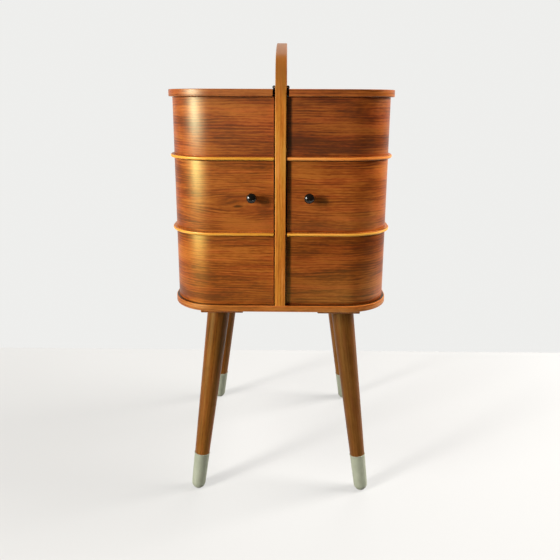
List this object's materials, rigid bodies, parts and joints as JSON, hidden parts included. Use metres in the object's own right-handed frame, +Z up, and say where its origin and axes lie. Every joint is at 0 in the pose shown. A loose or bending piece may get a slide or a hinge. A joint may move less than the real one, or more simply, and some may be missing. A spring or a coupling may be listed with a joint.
{
  "type": "sewing box",
  "caption": "Rounded wooden sewing box on splayed legs, with hinged lids, swing-out drawers and a bentwood carrying hoop.",
  "frame": {"origin": "on the floor, under the middle of the whole outline", "axes": "+Z up; the knobs and the front of the box face -Y; +X is the viewer's right"},
  "size_m": [0.3248, 0.3786, 0.701],
  "materials": {
    "wall_veneer": "bent plywood faced with reddish-brown teak veneer, grain level, satin lacquer",
    "lid_veneer": "teak veneered board with a reddish-brown edge, satin lacquer",
    "tray_wood": "thin golden-brown floor with a rounded edge, satin lacquer",
    "hoop_wood": "laminated light teak strip, grain along its length, satin lacquer",
    "inner_wood": "plain light plywood, clear lacquer",
    "leg_wood": "turned hardwood stained olive brown, satin",
    "cap_plastic": "grey-green moulded cap, slightly scuffed",
    "knob_black": "polished black",
    "hinge_black": "blackened steel",
    "plain_steel": "zinc plated",
    "stop_felt": "brown felt"
  },
  "bodies": {
    "frame": {"base_board": "lid_veneer", "bottom_inner_wall_left": "inner_wood", "bottom_inner_wall_right": "inner_wood", "bottom_wall_left": "wall_veneer", "bottom_wall_right": "wall_veneer", "centre_panel": "hoop_wood", "cleat_screws": "plain_steel", "drawer_stops": "stop_felt", "handle_hoop": "hoop_wood", "hinge_fixed_leaf_left": "hinge_black", "hinge_fixed_leaf_right": "hinge_black", "hinge_fixed_screws": "hinge_black", "hinge_pins": "hinge_black", "hoop_screws": "plain_steel", "inner_wall_screws": "plain_steel", "leg_bolts": "plain_steel", "leg_cap_front_left": "cap_plastic", "leg_cap_front_right": "cap_plastic", "leg_cap_rear_left": "cap_plastic", "leg_cap_rear_right": "cap_plastic", "leg_cleat_left": "leg_wood", "leg_cleat_right": "leg_wood", "leg_front_left": "leg_wood", "leg_front_right": "leg_wood", "leg_inserts": "plain_steel", "leg_rear_left": "leg_wood", "leg_rear_right": "leg_wood", "lower_pivot_blocks": "inner_wood", "panel_screws": "plain_steel", "pivot_rods": "plain_steel", "pivot_washers": "plain_steel", "tray_divider_left": "inner_wood", "tray_divider_right": "inner_wood", "tray_floor_left": "tray_wood", "tray_floor_right": "tray_wood", "tray_inner_wall_left": "inner_wood", "tray_inner_wall_right": "inner_wood", "tray_wall_left": "wall_veneer", "tray_wall_right": "wall_veneer", "upper_pivot_blocks": "inner_wood"},
    "drawer_left": {"drawer_divider_left": "inner_wood", "drawer_floor_left": "tray_wood", "drawer_inner_wall_left": "inner_wood", "drawer_pivot_block_left": "inner_wood", "drawer_wall_left": "wall_veneer", "knob_left": "knob_black", "knob_screw_left": "plain_steel"},
    "drawer_right": {"drawer_divider_right": "inner_wood", "drawer_floor_right": "tray_wood", "drawer_inner_wall_right": "inner_wood", "drawer_pivot_block_right": "inner_wood", "drawer_wall_right": "wall_veneer", "knob_right": "knob_black", "knob_screw_right": "plain_steel"},
    "lid_left": {"hinge_lid_leaf_left": "hinge_black", "lid_hinge_screws_left": "hinge_black", "lid_left": "lid_veneer"},
    "lid_right": {"hinge_lid_leaf_right": "hinge_black", "lid_hinge_screws_right": "hinge_black", "lid_right": "lid_veneer"}
  },
  "joints": [
    {"name": "drawer_swing_left", "type": "hinge", "parent": "frame", "child": "drawer_left", "pos_m": [-0.0215, 0.17125, 0.48015], "axis": [0, 0, -1], "range_deg": [0, 90]},
    {"name": "drawer_swing_right", "type": "hinge", "parent": "frame", "child": "drawer_right", "pos_m": [0.0215, 0.17125, 0.48015], "axis": [0, 0, 1], "range_deg": [0, 90]},
    {"name": "lid_hinge_left", "type": "hinge", "parent": "frame", "child": "lid_left", "pos_m": [-0.00935, 0.00525, 0.6314], "axis": [0, 1, 0], "range_deg": [0, 93]},
    {"name": "lid_hinge_right", "type": "hinge", "parent": "frame", "child": "lid_right", "pos_m": [0.00935, 0.00525, 0.6314], "axis": [0, -1, 0], "range_deg": [0, 93]}
  ]
}
